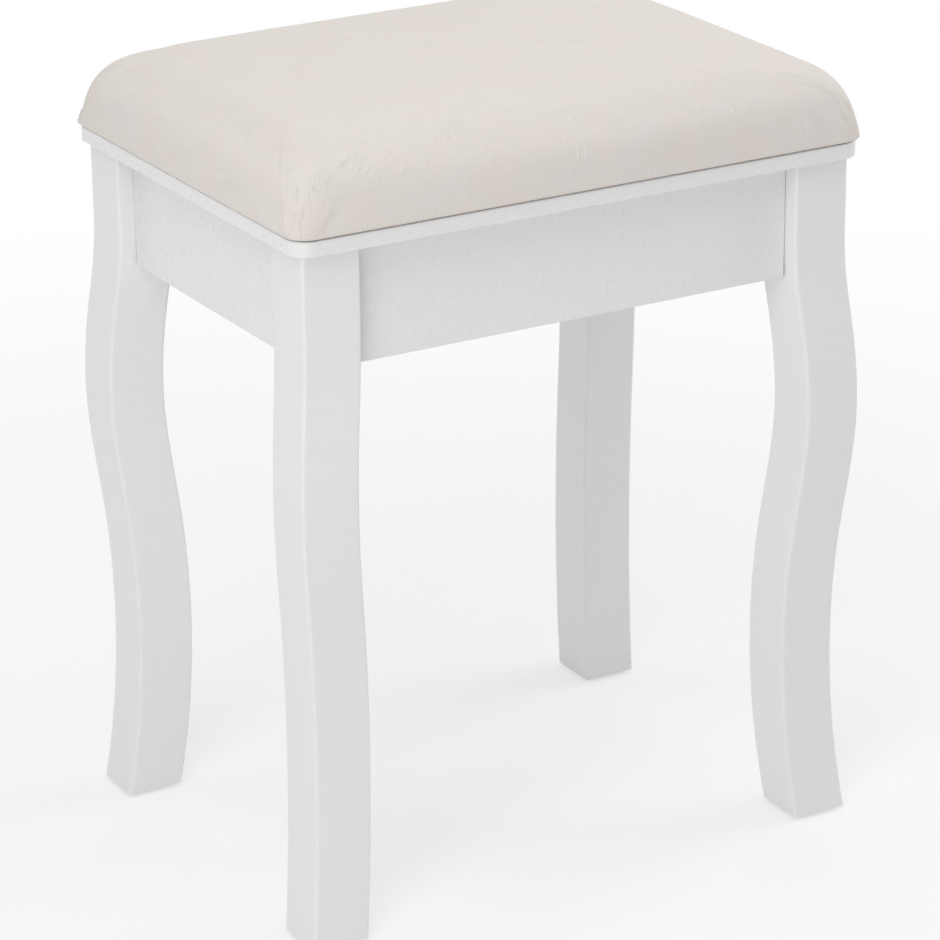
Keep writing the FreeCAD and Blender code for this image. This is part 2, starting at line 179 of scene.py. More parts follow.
shape = bmesh.new()
bmesh.ops.create_circle(shape, cap_ends=True, radius=FLOOR_RADIUS, segments=96)
bmesh.ops.translate(shape, verts=shape.verts, vec=(0, 0, -FLOOR_DROP))
floor_mesh = bpy.data.meshes.new("floor")
shape.to_mesh(floor_mesh)
shape.free()
floor = bpy.data.objects.new("floor", floor_mesh)
scene.collection.objects.link(floor)

floor_material = bpy.data.materials.new("matt_white_backdrop_paper")
floor_material.use_nodes = True
paper = floor_material.node_tree
paper.nodes.clear()
place = add_node(paper, "TexCoord")
distance = add_node(paper, "VectorMath", {0: place.outputs["Object"]}, operation="LENGTH")
share = add_node(paper, "MapRange", {"Value": distance.outputs["Value"],
                                     "From Min": SHADOW_FADE_FROM, "From Max": SHADOW_FADE_TO,
                                     "To Min": 1 - SHADOW_SHARE, "To Max": 1.0},
                 interpolation_type="SMOOTHSTEP")
own_white = add_node(paper, "Math", {0: is_looked_at(paper), 1: share.outputs["Result"]},
                     operation="MULTIPLY")
lit = add_node(paper, "BsdfDiffuse", {"Color": linear(PAPER)})
glow = add_node(paper, "Emission", {"Color": linear("#FFFFFF"), "Strength": 1.0})
both = add_node(paper, "MixShader", {0: own_white.outputs[0], 1: lit.outputs[0], 2: glow.outputs[0]})
add_node(paper, "OutputMaterial", {"Surface": both.outputs[0]})
floor_mesh.materials.append(floor_material)
print("floor: a disc of", FLOOR_RADIUS, "m, shadow kept by", SHADOW_SHARE)

# %% [markdown]
# The lamps are large soft boxes. The key stands to the front left, so the left faces are a little
# brighter than the front, and the light falls off towards the right. It is low and wide, for the
# flat light on the stool's upright faces. A smaller one above it throws the shadow of the seat
# board's edge onto the aprons. Each lamp is given by where it stands as seen from the stool: an
# azimuth (0 is in front, positive to the right), a height angle, a distance and its size, and is
# turned to face the seat's frame.

# %% Soft lamps
LAMP_AIM = Vector((0, 0, 0.25))
lamps = {
    # name: azimuth, elevation, distance, width, height, watts
    "key": (-49, 12, 1.9, 1.2, 1.2, 9),
    "high_key": (-48, 45, 1.9, 0.8, 0.8, 6.5),
    "right_fill": (85, 22, 2.8, 1.8, 1.6, 30),
    "overhead": (0, 88, 2.2, 2.0, 2.0, 17),
    "back_left": (-140, 28, 2.8, 1.6, 1.6, 8),
    "back_right": (150, 30, 2.8, 1.8, 1.6, 6),
}

for name, (azimuth, elevation, distance_away, width, height, watts) in lamps.items():
    lamp_data = bpy.data.lights.new(name, "AREA")
    lamp_data.shape = "RECTANGLE"
    lamp_data.size = width
    lamp_data.size_y = height
    lamp_data.energy = watts
    lamp = bpy.data.objects.new(name, lamp_data)
    scene.collection.objects.link(lamp)
    around = Euler((math.radians(-elevation), 0, math.radians(azimuth))).to_matrix()
    away = around @ Vector((0, -1, 0))
    lamp.location = LAMP_AIM + away * distance_away
    lamp.rotation_euler = (-away).to_track_quat("-Z", "Y").to_euler()
    print(name, "at", [round(part, 2) for part in lamp.location], "with", watts, "W")

# %% [markdown]
# The legs are rubberwood, turned out by a shaper and sprayed with a white satin lacquer. The
# lacquer hides the colour of the wood, but not quite its surface: fine straight grain shows
# through as a faint ripple along the leg. On top of it lies orange peel, the low swell of a
# few millimetres that any sprayed coat dries to. Both go into the bump. Where the swell is low
# the coat is a touch greyer and duller, which keeps the long faces from looking like plastic.

# %% Satin lacquer on rubberwood
LACQUER_WHITE = "#ECECEC"
LACQUER_SHADE = "#E9E9E9"       # where the coat is a touch thinner
LACQUER_IOR = 1.5               # polyurethane
ORANGE_PEEL = 3.0 * mm          # from swell to swell
GLOSS_SPREAD = 0.02
LEG_GRAIN_ACROSS = 1.1 * mm     # the real pores are 0.2 mm, too fine to show, so drawn coarser
LEG_GRAIN_ALONG = 38 * mm


def lacquer(name, roughness, grain_depth):
    """Sprayed white lacquer. The deeper the grain, the more the wood shows through."""
    material, tree, shader = start_material(name, IOR=LACQUER_IOR)
    place = add_node(tree, "TexCoord")
    swell = add_node(tree, "TexNoise", {"Vector": place.outputs["Object"],
                                        "Scale": 1 / ORANGE_PEEL, "Detail": 1.0, "Roughness": 0.4})
    colour = add_node(tree, "Mix", {FACTOR: swell.outputs[0], COLOUR_A: linear(LACQUER_SHADE),
                                    COLOUR_B: linear(LACQUER_WHITE)}, data_type="RGBA")
    tree.links.new(colour.outputs[MIXED], shader.inputs["Base Color"])
    gloss = add_node(tree, "MapRange", {"Value": swell.outputs[0], "To Min": roughness + GLOSS_SPREAD,
                                        "To Max": roughness - GLOSS_SPREAD})
    tree.links.new(gloss.outputs["Result"], shader.inputs["Roughness"])
    peel = add_node(tree, "Bump", {"Height": swell.outputs[0], "Strength": 0.05,
                                   "Distance": 0.4 * mm})
    last_bump = peel
    if grain_depth:
        stretch = add_node(tree, "Mapping", {"Vector": place.outputs["Object"], "Scale": (
            1 / LEG_GRAIN_ACROSS, 1 / LEG_GRAIN_ACROSS, 1 / LEG_GRAIN_ALONG)})
        pores = add_node(tree, "TexNoise", {"Vector": stretch.outputs[0], "Scale": 1.0,
                                            "Detail": 2.0, "Roughness": 0.6, "Distortion": 0.3})
        last_bump = add_node(tree, "Bump", {"Height": pores.outputs[0], "Strength": grain_depth,
                                            "Distance": 0.3 * mm, "Normal": peel.outputs[0]})
    tree.links.new(last_bump.outputs[0], shader.inputs["Normal"])
    return material


leg_lacquer = lacquer("satin_white_lacquer_on_rubberwood", roughness=0.30, grain_depth=0.10)

# %% [markdown]
# The aprons and the seat board are fibreboard under the same lacquer. Fibreboard has no grain,
# so the coat lies flatter and a little glossier, with only the orange peel left. Their shapes
# are right as they are, down to the rounded arrises, so they keep their CAD meshes.

# %% Satin lacquer on fibreboard
board_lacquer = lacquer("satin_white_lacquer_on_fibreboard", roughness=0.28, grain_depth=0)

# %% [markdown]
# The corner blocks inside the frame were never meant to be seen, so they are bare sawn pine.
# Seen from below they show the growth rings as darker lines every few millimetres, with the
# soft wood between them pale yellow. The rings come from a wave texture that is pushed about
# by noise, and the saw has left the surface matt.

# %% Bare sawn pine
PINE_PALE = "#E6CFA2"
PINE_DARK = "#CBA268"
PINE_FIBRE = "#F2E2BF"
RING_SPACING = 3.4 * mm
WAVE_PERIOD = 2 * math.pi / 20      # of a wave texture at scale 1, in Blender's own units

pine, tree, shader = start_material("bare_sawn_pine", Roughness=0.75, IOR=1.5)
place = add_node(tree, "TexCoord")
lay = add_node(tree, "Mapping", {"Vector": place.outputs["Object"], "Scale": (1.0, 1.0, 0.16),
                                 "Rotation": (0.12, 0.07, 0.4)})
rings = add_node(tree, "TexWave", {"Vector": lay.outputs[0], "Scale": WAVE_PERIOD / RING_SPACING,
                                   "Distortion": 2.6, "Detail": 2.0, "Detail Scale": 0.6},
                 wave_type="BANDS", bands_direction="X", wave_profile="SAW")
fibre_lay = add_node(tree, "Mapping", {"Vector": place.outputs["Object"],
                                       "Scale": (1 / (0.6 * mm), 1 / (0.6 * mm), 1 / (14 * mm))})
fibres = add_node(tree, "TexNoise", {"Vector": fibre_lay.outputs[0], "Scale": 1.0, "Detail": 3.0})
grown = add_node(tree, "MapRange", {"Value": rings.outputs["Fac"], "From Min": 0.35, "From Max": 1.0,
                                    "To Min": 0.0, "To Max": 0.85})
ringed = add_node(tree, "Mix", {FACTOR: grown.outputs["Result"], COLOUR_A: linear(PINE_PALE),
                                COLOUR_B: linear(PINE_DARK)}, data_type="RGBA")
fine = add_node(tree, "MapRange", {"Value": fibres.outputs[0], "From Min": 0.35, "From Max": 0.7,
                                   "To Min": 0.0, "To Max": 0.35})
fibred = add_node(tree, "Mix", {FACTOR: fine.outputs["Result"], COLOUR_A: ringed.outputs[MIXED],
                                COLOUR_B: linear(PINE_FIBRE)}, data_type="RGBA")
tree.links.new(fibred.outputs[MIXED], shader.inputs["Base Color"])
sawn = add_node(tree, "Bump", {"Height": fibres.outputs[0], "Strength": 0.5, "Distance": 0.3 * mm})
tree.links.new(sawn.outputs[0], shader.inputs["Normal"])

# %% [markdown]
# The pad's board is plywood. Its edge shows the veneers as light and dark bands, because each
# layer is turned a quarter from the last and cuts the light differently, and its face shows
# long grain. It is hidden inside the pad, yet a part that can be taken apart has it finished.

# %% Birch plywood
VENEER = 1.5 * mm
VENEER_PALE = "#E3C79B"
VENEER_DARK = "#B98F5E"
BIRCH_STREAK = "#EAD7B4"

plywood, tree, shader = start_material("birch_plywood", Roughness=0.6, IOR=1.5)
place = add_node(tree, "TexCoord")
split = add_node(tree, "SeparateXYZ", {"Vector": place.outputs["Object"]})
layer = add_node(tree, "Math", {0: split.outputs["Z"], 1: math.pi / VENEER}, operation="MULTIPLY")
band = add_node(tree, "Math", {0: layer.outputs[0]}, operation="SINE")
grain_lay = add_node(tree, "Mapping", {"Vector": place.outputs["Object"],
                                       "Scale": (1 / (60 * mm), 1 / (1.5 * mm), 1 / (1.5 * mm))})
grain = add_node(tree, "TexNoise", {"Vector": grain_lay.outputs[0], "Scale": 1.0, "Detail": 4.0})
dark_layer = add_node(tree, "MapRange", {"Value": band.outputs[0], "From Min": -0.2, "From Max": 0.2,
                                         "To Min": 0.0, "To Max": 0.6})
layered = add_node(tree, "Mix", {FACTOR: dark_layer.outputs["Result"], COLOUR_A: linear(VENEER_PALE),
                                 COLOUR_B: linear(VENEER_DARK)}, data_type="RGBA")
streaked = add_node(tree, "Mix", {FACTOR: grain.outputs[0], COLOUR_A: layered.outputs[MIXED],
                                  COLOUR_B: linear(BIRCH_STREAK)}, data_type="RGBA")
tree.links.new(streaked.outputs[MIXED], shader.inputs["Base Color"])
raised = add_node(tree, "Bump", {"Height": grain.outputs[0], "Strength": 0.3, "Distance": 0.2 * mm})
tree.links.new(raised.outputs[0], shader.inputs["Normal"])

# %% [markdown]
# Screws, bolts, washers, inserts and staples are steel with a thin coat of zinc, tumbled in a
# barrel. The coat is a cool light grey, neither mirror nor matt, and slightly uneven from one
# spot to the next. A metal keeps the default index of refraction.

# %% Zinc-plated steel
ZINC_BRIGHT = "#C9CDD0"
ZINC_DULL = "#AEB4B8"

zinc, tree, shader = start_material("barrel_zinc_plated_steel", Metallic=1.0)
place = add_node(tree, "TexCoord")
cloudy = add_node(tree, "TexNoise", {"Vector": place.outputs["Object"], "Scale": 1 / (4 * mm),
                                     "Detail": 4.0, "Roughness": 0.6})
tone = add_node(tree, "Mix", {FACTOR: cloudy.outputs[0], COLOUR_A: linear(ZINC_BRIGHT),
                              COLOUR_B: linear(ZINC_DULL)}, data_type="RGBA")
tree.links.new(tone.outputs[MIXED], shader.inputs["Base Color"])
tumbled = add_node(tree, "MapRange", {"Value": cloudy.outputs[0], "From Min": 0.3, "From Max": 0.7,
                                      "To Min": 0.26, "To Max": 0.42})
tree.links.new(tumbled.outputs["Result"], shader.inputs["Roughness"])
dents = add_node(tree, "TexNoise", {"Vector": place.outputs["Object"], "Scale": 1 / (0.8 * mm)})
hammered = add_node(tree, "Bump", {"Height": dents.outputs[0], "Strength": 0.15,
                                   "Distance": 0.1 * mm})
tree.links.new(hammered.outputs[0], shader.inputs["Normal"])

# %% [markdown]
# The glides under the legs are moulded nylon: off-white, a little waxy, with light going a short
# way into it, and scuffed on the face that slides.

# %% Moulded nylon
NYLON_CLEAN = "#ECEAE4"
NYLON_WORN = "#DEDBD2"

nylon, tree, shader = start_material("moulded_nylon", IOR=1.53, Subsurface_Weight=0.15,
                                     Subsurface_Radius=(0.6, 0.5, 0.4), Subsurface_Scale=2 * mm)
place = add_node(tree, "TexCoord")
scuffs = add_node(tree, "TexNoise", {"Vector": place.outputs["Object"], "Scale": 1 / (1.2 * mm),
                                     "Detail": 5.0, "Roughness": 0.7})
worn = add_node(tree, "Mix", {FACTOR: scuffs.outputs[0], COLOUR_A: linear(NYLON_CLEAN),
                              COLOUR_B: linear(NYLON_WORN)}, data_type="RGBA")
tree.links.new(worn.outputs[MIXED], shader.inputs["Base Color"])
waxy = add_node(tree, "MapRange", {"Value": scuffs.outputs[0], "From Min": 0.3, "From Max": 0.7,
                                   "To Min": 0.35, "To Max": 0.55})
tree.links.new(waxy.outputs["Result"], shader.inputs["Roughness"])
scratched = add_node(tree, "Bump", {"Height": scuffs.outputs[0], "Strength": 0.2,
                                    "Distance": 0.1 * mm})
tree.links.new(scratched.outputs[0], shader.inputs["Normal"])

# %% [markdown]
# The pad's cloth is a plain weave in ivory, of a yarn that was spun unevenly. Here and there a
# yarn has a slub, a thick place a few millimetres long, which catches the light as a short pale
# dash. The bump raises the slub, and the pale dash is also painted into its colour as a painted
# highlight. The slubs all run one way, front to back, because they are in the warp: down the front
# of the pad they stand upright. The dye has taken a little unevenly, warmer here, cooler there.
# The cloth has a soft bloom at grazing angles from its loose fibres, which is what sheen is for.
#
# The pattern has to follow the cloth over the edge and down the sides, so it reads the pad's
# own map, which is the cloth laid flat again, in metres.

# %% Ivory slub weave
IVORY = "#E2DCD7"
IVORY_WARM = "#E3DAD4"
IVORY_COOL = "#DFDCD4"
BLOOM = "#FFFBF4"           # of the loose fibres
THREAD = 1.3 * mm           # real threads are about 0.4 mm apart, too fine to show
SLUB_WIDTH = 0.7 * mm
SLUB_LENGTH = 5.5 * mm
# The pale dash of a slub is a painted highlight: this colour stands for the light it catches
SLUB_HIGHLIGHT_COLOUR = "#FBF8F3"
SLUB_HIGHLIGHT_STRENGTH = 0.30        # how strongly the painted highlight lies on a slub
SLUB_DRIFT = 22 * mm        # from one gathering of slubs to the next
FUZZ = 2.2 * mm
MOTTLE = 30 * mm

weave, tree, shader = start_material("ivory_slub_weave", Roughness=0.88, IOR=1.45,
                                     Specular_IOR_Level=0.3, Sheen_Weight=0.15,
                                     Sheen_Roughness=0.5, Sheen_Tint=linear(BLOOM))
flat_cloth = add_node(tree, "UVMap", uv_map="cloth_laid_flat")
place = add_node(tree, "TexCoord")

# Dye that took unevenly
warm_patches = add_node(tree, "TexNoise", {"Vector": place.outputs["Object"], "Scale": 1 / MOTTLE,
                                           "Detail": 3.0, "Roughness": 0.55})
cool_patches = add_node(tree, "TexNoise", {"Vector": flat_cloth.outputs[0], "Scale": 1.7 / MOTTLE,
                                           "Detail": 3.0, "Roughness": 0.55})
warm_share = add_node(tree, "MapRange", {"Value": warm_patches.outputs[0], "From Min": 0.42,
                                         "From Max": 0.68}, interpolation_type="SMOOTHSTEP")
cool_share = add_node(tree, "MapRange", {"Value": cool_patches.outputs[0], "From Min": 0.46,
                                         "From Max": 0.70}, interpolation_type="SMOOTHSTEP")
warmed = add_node(tree, "Mix", {FACTOR: warm_share.outputs["Result"], COLOUR_A: linear(IVORY),
                                COLOUR_B: linear(IVORY_WARM)}, data_type="RGBA")
dyed = add_node(tree, "Mix", {FACTOR: cool_share.outputs["Result"],
                              COLOUR_A: warmed.outputs[MIXED],
                              COLOUR_B: linear(IVORY_COOL)}, data_type="RGBA")

# Slubs: thick places in the warp, thinned out by a slow noise so that they come in drifts
warp_lay = add_node(tree, "Mapping", {"Vector": flat_cloth.outputs[0],
                                      "Scale": (1 / SLUB_WIDTH, 1 / SLUB_LENGTH, 1.0)})
yarn = add_node(tree, "TexNoise", {"Vector": warp_lay.outputs[0], "Scale": 0.55, "Detail": 1.0})
drifts = add_node(tree, "TexNoise", {"Vector": flat_cloth.outputs[0], "Scale": 1 / SLUB_DRIFT,
                                     "Detail": 1.0})
thick = add_node(tree, "MapRange", {"Value": yarn.outputs[0], "From Min": 0.58, "From Max": 0.70})
gathered = add_node(tree, "MapRange", {"Value": drifts.outputs[0], "From Min": 0.47,
                                       "From Max": 0.60})
slubs = add_node(tree, "Math", {0: thick.outputs["Result"], 1: gathered.outputs["Result"]},
                 operation="MULTIPLY")
# Painted highlight: the slubs are laid paler, for the light that their raised yarn catches
slub_highlight_share = add_node(tree, "Math", {0: slubs.outputs[0], 1: SLUB_HIGHLIGHT_STRENGTH}, operation="MULTIPLY")
slub_highlighted = add_node(tree, "Mix", {FACTOR: slub_highlight_share.outputs[0], COLOUR_A: dyed.outputs[MIXED],
                                 COLOUR_B: linear(SLUB_HIGHLIGHT_COLOUR)}, data_type="RGBA")
tree.links.new(slub_highlighted.outputs[MIXED], shader.inputs["Base Color"])

# Plain weave: the warp's ups and downs times the weft's
split = add_node(tree, "SeparateXYZ", {"Vector": flat_cloth.outputs[0]})
threads = []
for axis in ("X", "Y"):
    phase = add_node(tree, "Math", {0: split.outputs[axis], 1: math.pi / THREAD},
                     operation="MULTIPLY")
    threads.append(add_node(tree, "Math", {0: phase.outputs[0]}, operation="SINE"))
crossed = add_node(tree, "Math", {0: threads[0].outputs[0], 1: threads[1].outputs[0]},
                   operation="MULTIPLY")
woven = add_node(tree, "Bump", {"Height": crossed.outputs[0], "Strength": 0.12,
                                "Distance": 0.15 * mm})
fuzz = add_node(tree, "TexNoise", {"Vector": flat_cloth.outputs[0], "Scale": 1 / FUZZ,
                                   "Detail": 4.0, "Roughness": 0.65})
uneven = add_node(tree, "Bump", {"Height": fuzz.outputs[0], "Strength": 0.3,
                                 "Distance": 0.5 * mm, "Normal": woven.outputs[0]})
lifted = add_node(tree, "Bump", {"Height": slubs.outputs[0], "Strength": 0.7,
                                 "Distance": 0.35 * mm, "Normal": uneven.outputs[0]})
tree.links.new(lifted.outputs[0], shader.inputs["Normal"])
print("cloth: threads", THREAD / mm, "mm apart, slubs", SLUB_LENGTH / mm, "mm long")

# %% [markdown]
# Each measured piece now gets its finish. The record lists the pieces by material slot, so a
# finish is chosen by slot, and the legs and boards come out right without naming them one by one.

# %% Finishes for the measured pieces
finish_for_slot = {
    "white_lacquered_wood": leg_lacquer,
    "white_lacquered_board": board_lacquer,
    "bare_pine": pine,
    "nylon": nylon,
    "plywood": plywood,
    "zinc_plated_steel": zinc,
    "ivory_cloth": weave,
    "foam": weave,              # never seen, because the cushion stands for it
}
for piece in frame["record"]["subparts"]:
    node = nodes[piece["node"]]
    for material_slot in node.material_slots:
        material_slot.material = finish_for_slot[piece["material_slot"]]

# %% [markdown]
# The pad is the one soft piece, and the one that Blender makes itself. On the real stool a block
# of foam lies on a plywood board, and the cloth is pulled over it and stapled underneath. So the
# pad bulges along its sides, rolls over softly to a crowned top, and turns in at the seam, where
# a dark line divides it from the seat board.
#
# The top starts as a grid, because a grid has no pole in its middle to spoil the shading. Each
# of its points is laid on a rounded rectangle that grows from the middle, and rises with it to
# the crown. The sizes are matched to the measured pad, whose box gives the height it starts at.

# %% The pad's measured sizes
pad_low, pad_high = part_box("pad_cover")
SEAM_OVERHANG = 0.2 * mm        # how far the seam's sides swell, at their middle
SIDE_SWELL = 1.6 * mm           # how much more they swell half way up
HALF_WIDTH = 182 * mm
HALF_DEPTH = 137 * mm
EDGE_HEIGHT = 42.4 * mm         # from the seat board to where the crown starts
CROWN = 8.6 * mm
ROLL = 24 * mm                  # how far in the rounded edge reaches
ROLL_POWER = 2 / 2.35           # 1 is a quarter ellipse, less is squarer
TUCK = 2.5 * mm                 # how far in the cloth turns under, before the hem
TUCK_HEIGHT = 2.6 * mm
SEAM_GAP = 0.8 * mm             # the shadow in this slit is the dark line above the board
SEAM_CORNER = 13.0 * mm
TOP_CORNER = 33.5 * mm
pad_bottom = pad_low.z
print("the pad fills", [round(side / mm, 1) for side in pad_high - pad_low], "mm")

# %% [markdown]
# A point of the grid has a place (u, v) on a square from -1 to 1. The square's edge is wrapped
# round the pad: the middle of each side is straight, apart from a slight swell, and the last
# steps before each corner of the square go round half of the rounded corner. On the straight
# part the steps shorten towards the corners, where the creases need them. The same function says
# which way is outwards there, which is the way the cloth runs down.

# %% From the square to the pad's outline
STRAIGHT_STEPS_X = 52
STRAIGHT_STEPS_Y = 38
CORNER_STEPS = 24               # round a whole corner
CROWDING = 0.35                 # how much closer the steps lie near a corner, for the creases
steps_x = STRAIGHT_STEPS_X + CORNER_STEPS
steps_y = STRAIGHT_STEPS_Y + CORNER_STEPS


def along_side(part, straight_share, half_run, half_reach, radius, swell):
    """A side's point as (along, out), and how far its outward direction has turned.
    part runs from -1 to 1 over the side and half of the corner at each end."""
    if abs(part) <= straight_share:
        straight = part / straight_share
        along = straight * (1 + CROWDING * (1 - straight ** 2)) * (half_run - radius)
        return along, half_reach + swell * (1 - straight ** 2), 0.0
    turn = (abs(part) - straight_share) / (1 - straight_share) * math.pi / 4
    turn = math.copysign(turn, part)
    along = math.copysign(half_run - radius, part) + radius * math.sin(turn)
    return along, half_reach - radius + radius * math.cos(turn), turn


def on_outline(u, v, inset, radius, swell):
    """The place on the pad's outline that (u, v) on the square's edge stands for, and the
    outward direction there."""
    half_x = HALF_WIDTH - inset
    half_y = HALF_DEPTH - inset
    if abs(v) >= abs(u):
        side = math.copysign(1, v)
        along, out, turn = along_side(u / abs(v), STRAIGHT_STEPS_X / steps_x, half_x, half_y,
                                      radius, swell)
        return Vector((along, side * out)), Vector((math.sin(turn), side * math.cos(turn)))
    side = math.copysign(1, u)
    along, out, turn = along_side(v / abs(u), STRAIGHT_STEPS_Y / steps_y, half_y, half_x,
                                  radius, swell)
    return Vector((side * out, along)), Vector((side * math.cos(turn), math.sin(turn)))


# %% [markdown]
# Now the top. The grid comes from one operator, and its points are moved to the crown. Three
# numbers are stored with each point, because every ring that is extruded later inherits them:
# its place on the square, and how far down the cloth it lies.

# %% The crowned top
pad = bmesh.new()
square_u = pad.verts.layers.float.new("square_u")
square_v = pad.verts.layers.float.new("square_v")
cloth_u = pad.verts.layers.float.new("cloth_u")
cloth_v = pad.verts.layers.float.new("cloth_v")
crease = pad.edges.layers.float.new("crease_edge")


def lay_grid(inset, radius, swell, height, crown):
    """A grid laid inside the outline with that inset, rising by the crown to its middle."""
    grown = bmesh.ops.create_grid(pad, x_segments=steps_x, y_segments=steps_y, size=1.0)["verts"]
    for vert in grown:
        u, v = vert.co.x, vert.co.y
        vert[square_u] = u
        vert[square_v] = v
        share = max(abs(u), abs(v))
        flat = Vector((0, 0))
        if share > 1e-6:
            flat = on_outline(u / share, v / share, inset, radius, swell)[0] * share
        vert.co = (*flat, pad_bottom + height + crown * (1 - share ** 2))
        vert[cloth_u] = flat.x
        vert[cloth_v] = flat.y
    return grown


lay_grid(ROLL, TOP_CORNER, SEAM_OVERHANG, EDGE_HEIGHT, CROWN)
print("top:", len(pad.verts), "points")

# %% [markdown]
# The sides come by extruding the grid's open edge, ring after ring, and laying each new ring on
# its outline. First the roll, a quarter of a squarish ellipse, from the crown down to where
# the side stands upright. Its corners tighten on the way down. Then the tuck, where the cloth
# turns in to the seam. The length that the cloth has run from the crown is kept for the map.

# %% Rings down the sides
ROLL_RINGS = 18
TUCK_RINGS = 4


def profile():
    """Each ring's inset, height, corner radius and swell, from the crown's edge to the seam."""
    for ring in range(1, ROLL_RINGS + 1):
        turn = math.pi / 2 * (1 - ring / ROLL_RINGS)
        inset = ROLL * (1 - math.cos(turn) ** ROLL_POWER)
        rise = (EDGE_HEIGHT - TUCK_HEIGHT) * math.sin(turn) ** ROLL_POWER
        radius = SEAM_CORNER + (TOP_CORNER - SEAM_CORNER) * turn / (math.pi / 2)
        swell = SEAM_OVERHANG + SIDE_SWELL * math.sin(2 * turn)
        yield inset, TUCK_HEIGHT + rise, radius, swell
    for ring in range(1, TUCK_RINGS + 1):
        turn = math.pi / 2 * (1 - ring / TUCK_RINGS)
        inset = TUCK * (1 - math.sin(turn))
        height = SEAM_GAP + (TUCK_HEIGHT - SEAM_GAP) * (1 - math.cos(turn))
        yield inset, height, SEAM_CORNER - inset, SEAM_OVERHANG


def next_ring(rim, inset, height, radius, swell):
    """Extrudes the rim and lays the new ring on its outline. Returns its edges."""
    grown = bmesh.ops.extrude_edge_only(pad, edges=rim)["geom"]
    for vert in (part for part in grown if isinstance(part, bmesh.types.BMVert)):
        flat, outwards = on_outline(vert[square_u], vert[square_v], inset, radius, swell)
        here = Vector((*flat, pad_bottom + height))
        run = (here - vert.co).length
        vert.co = here
        vert[cloth_u] += outwards.x * run
        vert[cloth_v] += outwards.y * run
    return [part for part in grown if isinstance(part, bmesh.types.BMEdge)
            and part.is_boundary]


rim = [edge for edge in pad.edges if edge.is_boundary]
for ring_sizes in profile():
    rim = next_ring(rim, *ring_sizes)
print("sides:", ROLL_RINGS + TUCK_RINGS, "rings of", len(rim), "points")

# %% [markdown]
# Underneath, the cloth goes on as a hem that is stapled to the board. For its first few
# millimetres it stays clear of the seat board, and this slit is the dark line. Then it lies down.
# The piece stands for the cloth and the foam together, so it has to be closed, with a pocket for
# the board: in along the hem, up to the board, back out under it, and up beside it. A second grid
# closes it above the board, and its edge is merged with the last ring. One big face would be
# simpler, but a subdivision chokes on a face with hundreds of corners. The pocket's edges are
# creased, so that the subdivision later keeps them sharp and clear of the board.

# %% Hem and the pocket for the board
HEM_GAP = 0.3 * mm              # clear of the seat board
SLIT_DEPTH = 4.5 * mm           # how far in the cloth stays up, and where it lies down
LAID_DOWN = 6.5 * mm
HEM_WIDTH = 26 * mm
HEM_CORNER = 5 * mm
POCKET_GAP = 0.3 * mm           # clear of the plywood
MERGE_WITHIN = 0.01 * mm
board_low, board_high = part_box("pad_board")
board_inset = HALF_WIDTH - board_high.x
hem_top = board_low.z - pad_bottom - POCKET_GAP
pocket_inset = board_inset - POCKET_GAP
pocket_top = board_high.z - pad_bottom + POCKET_GAP

for inset, height, sharp in ((SLIT_DEPTH, SEAM_GAP, 0.0), (LAID_DOWN, HEM_GAP, 0.0),
                             (HEM_WIDTH / 2, HEM_GAP, 0.0), (HEM_WIDTH, HEM_GAP, 1.0),
                             (HEM_WIDTH, hem_top, 1.0), (pocket_inset, hem_top, 1.0),
                             (pocket_inset, pocket_top, 1.0)):
    rim = next_ring(rim, inset, height, max(SEAM_CORNER - inset, HEM_CORNER), 0.0)
    for edge in rim:
        edge[crease] = sharp
ceiling_corner = max(SEAM_CORNER - pocket_inset, HEM_CORNER)
ceiling = lay_grid(pocket_inset, ceiling_corner, 0.0, pocket_top, 0.0)
last_ring = {vert for edge in rim for vert in edge.verts}
bmesh.ops.remove_doubles(pad, verts=ceiling + list(last_ring), dist=MERGE_WITHIN)
bmesh.ops.recalc_face_normals(pad, faces=pad.faces)
print("closed:", all(len(edge.link_faces) == 2 for edge in pad.edges), len(pad.faces), "faces")
cubic_centimetre = 1e-6
print("volume", round(pad.calc_volume() / cubic_centimetre), "cubic centimetres")

# %% [markdown]
# The map that the weave follows is the cloth laid flat: a point of the top keeps its x and y,
# and a point on a side lies as far outside the top's edge as the cloth has run down to it.

# %% The map of the cloth laid flat
cloth_map = pad.loops.layers.uv.new("cloth_laid_flat")
for face in pad.faces:
    face.smooth = True
    for loop in face.loops:
        loop[cloth_map].uv = (loop.vert[cloth_u], loop.vert[cloth_v])

cushion_mesh = bpy.data.meshes.new("cushion")
pad.to_mesh(cushion_mesh)
pad.free()
cushion_mesh.materials.append(weave)
cushion = bpy.data.objects.new("cushion", cushion_mesh)
scene.collection.objects.link(cushion)

# %% [markdown]
# So far the pad is a perfect form, and foam under cloth never is. A cloth simulation gives it the
# fullness of a stuffed thing. The pad starts a little too small, its seam and hem are held where
# the staples hold them, and a pressure from inside blows the cloth up against its own tension,
# with no gravity. How far a point may move is capped, because the pad was measured and has to
# end at its size. The modifier is then taken off, and its result kept in the mesh.

# %% Fill the pad
START_SMALLER = 0.9 * mm
MOST_SWELL = 2.6 * mm
FILL_PRESSURE = 2.0
CLOTH_STIFFNESS = 60            # a tight upholstery cloth stretches little
CLOTH_MASS = 0.3
CLOTH_QUALITY = 4               # solver steps in each frame
FILL_FRAMES = 12
HELD_BELOW = 4 * mm             # above the seat board
FREE_ABOVE = 14 * mm
FACING_DOWN = -0.5              # a normal's z below this is the pad's underside
POCKET_MARGIN = 1 * mm

